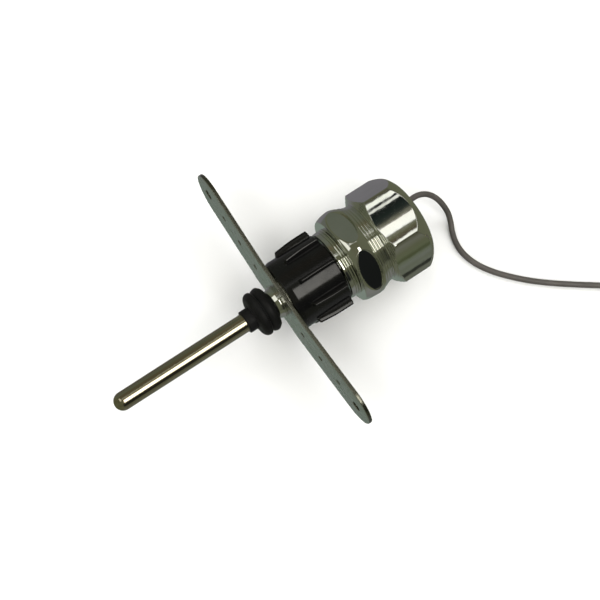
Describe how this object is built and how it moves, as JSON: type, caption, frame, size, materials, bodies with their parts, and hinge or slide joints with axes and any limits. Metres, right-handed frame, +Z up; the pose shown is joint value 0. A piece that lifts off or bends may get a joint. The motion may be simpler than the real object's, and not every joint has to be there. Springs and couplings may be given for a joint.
{
  "type": "flame sensor probe",
  "caption": "Rod-type flame sensing probe with a flat mounting strip, ribbed clamp nut, plated gland body, hexagon cap and a thin coiled lead with a push-on connector.",
  "frame": {"origin": "on the surface that the probe lies on, under the middle of the probe without its free lead", "axes": "+X along the probe from the sensing rod's tip to the cap, +Y along the mounting strip, +Z up"},
  "size_m": [0.1841, 0.1642, 0.0318],
  "materials": {
    "rod_steel": "polished stainless steel",
    "insulator": "smooth, slightly waxy",
    "black_rubber": "matte black moulded rubber",
    "bright_plate": "bright nickel-chrome plate",
    "zinc_steel": "zinc plated, dull",
    "fibre": "pressed fibre",
    "black_plastic": "satin black moulding",
    "terminal_brass": "tinned and bare brass",
    "lead_cover": "grey-brown silicone, satin",
    "sleeve_vinyl": "smooth vinyl"
  },
  "bodies": {
    "root": {"sensing_rod": "rod_steel", "rod_sleeve": "insulator", "front_seal": "black_rubber", "threaded_nipple": "bright_plate", "nut_ring": "black_rubber", "gland_body": "bright_plate", "insulating_bush": "insulator", "lock_washer": "zinc_steel", "inner_terminal_nut": "terminal_brass", "ring_tag": "terminal_brass", "outer_terminal_nut": "terminal_brass", "inner_lead": "lead_cover", "cable_seal": "black_rubber", "cap_gasket": "bright_plate", "lead_run": "lead_cover", "lead_coil": "lead_cover", "lead_tie": "black_plastic", "lead_connector": "terminal_brass", "connector_sleeve": "sleeve_vinyl"},
    "strip": {"mounting_strip": "zinc_steel"},
    "nut_carrier": {"clamp_washer": "fibre"},
    "nut": {"clamp_nut": "black_plastic"},
    "cap_carrier": {"slip_ring": "insulator"},
    "cap": {"hex_cap": "bright_plate"}
  },
  "joints": [
    {"name": "strip_swivel", "type": "hinge", "parent": "root", "child": "strip", "pos_m": [0.00625, 0, 0.01555], "axis": [1, 0, 0], "continuous": true},
    {"name": "nut_advance", "type": "slide", "parent": "root", "child": "nut_carrier", "axis": [1, 0, 0], "range_m": [0, 0.0005]},
    {"name": "nut_turn", "type": "hinge", "parent": "nut_carrier", "child": "nut", "pos_m": [0.00655, 0, 0.01555], "axis": [1, 0, 0], "range_deg": [0, 120]},
    {"name": "cap_advance", "type": "slide", "parent": "root", "child": "cap_carrier", "axis": [1, 0, 0], "range_m": [0, 0.0015]},
    {"name": "cap_turn", "type": "hinge", "parent": "cap_carrier", "child": "cap", "pos_m": [0.04105, 0, 0.01555], "axis": [1, 0, 0], "range_deg": [0, 360]}
  ],
  "couplings": [
    {"joint": "nut_advance", "follows": "nut_turn", "m_per_rad": 0.00023873},
    {"joint": "cap_advance", "follows": "cap_turn", "m_per_rad": 0.00023873}
  ]
}
